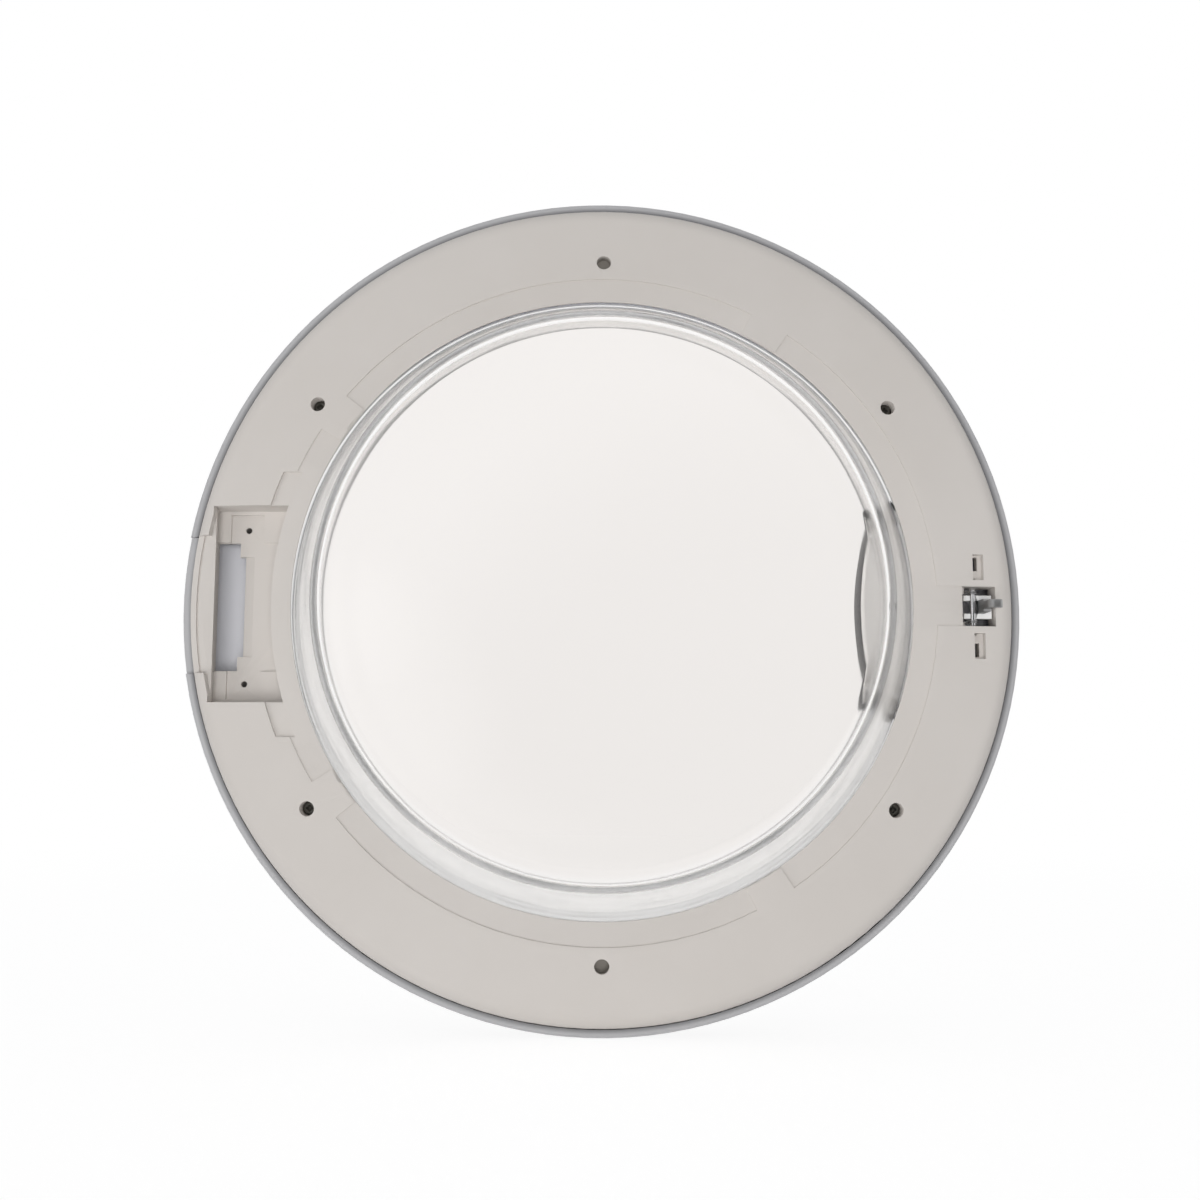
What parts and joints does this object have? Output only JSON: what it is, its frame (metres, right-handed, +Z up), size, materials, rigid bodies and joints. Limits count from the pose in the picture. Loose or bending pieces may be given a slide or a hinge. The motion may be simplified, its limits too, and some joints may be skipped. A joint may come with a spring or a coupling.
{
  "type": "washing machine door",
  "caption": "Round front-loader washing machine door with a clear glass bowl, two-part plastic frame, empty hinge pocket, sprung latch hook and pull handle.",
  "frame": {"origin": "on the door's round axis, midway between the end of the glass bowl and the crest of the front", "axes": "+Y out of the front towards the user, so the bowl points along -Y; +X towards the latch; +Z up"},
  "size_m": [0.4278, 0.101, 0.4278],
  "materials": {
    "inner_plastic": "satin off-white moulding",
    "outer_plastic": "silver-grey satin",
    "clear_glass": "clear, polished",
    "handle_plastic": "dark grey satin",
    "screw_steel": "zinc plated",
    "pin_steel": "bright drawn",
    "carrier_plastic": "smooth white",
    "hook_steel": "dull die-cast",
    "spring_steel": "drawn wire"
  },
  "bodies": {
    "door": {"inner_frame": "inner_plastic", "outer_frame": "outer_plastic", "glass_bowl": "clear_glass", "door_handle": "handle_plastic", "handle_screws": "screw_steel", "frame_screws": "screw_steel", "hook_pin": "pin_steel", "hook_spring": "spring_steel"},
    "hook": {"hook_carrier": "carrier_plastic", "latch_hook": "hook_steel"}
  },
  "joints": [
    {"name": "hook_tilt", "type": "hinge", "parent": "door", "child": "hook", "pos_m": [0.1876, 0.0135, 0], "axis": [0, 0, -1], "range_deg": [0, 12], "stiffness_Nm_per_rad": 0.05, "springref_deg": -40.11, "deforming": ["hook_spring"]}
  ]
}
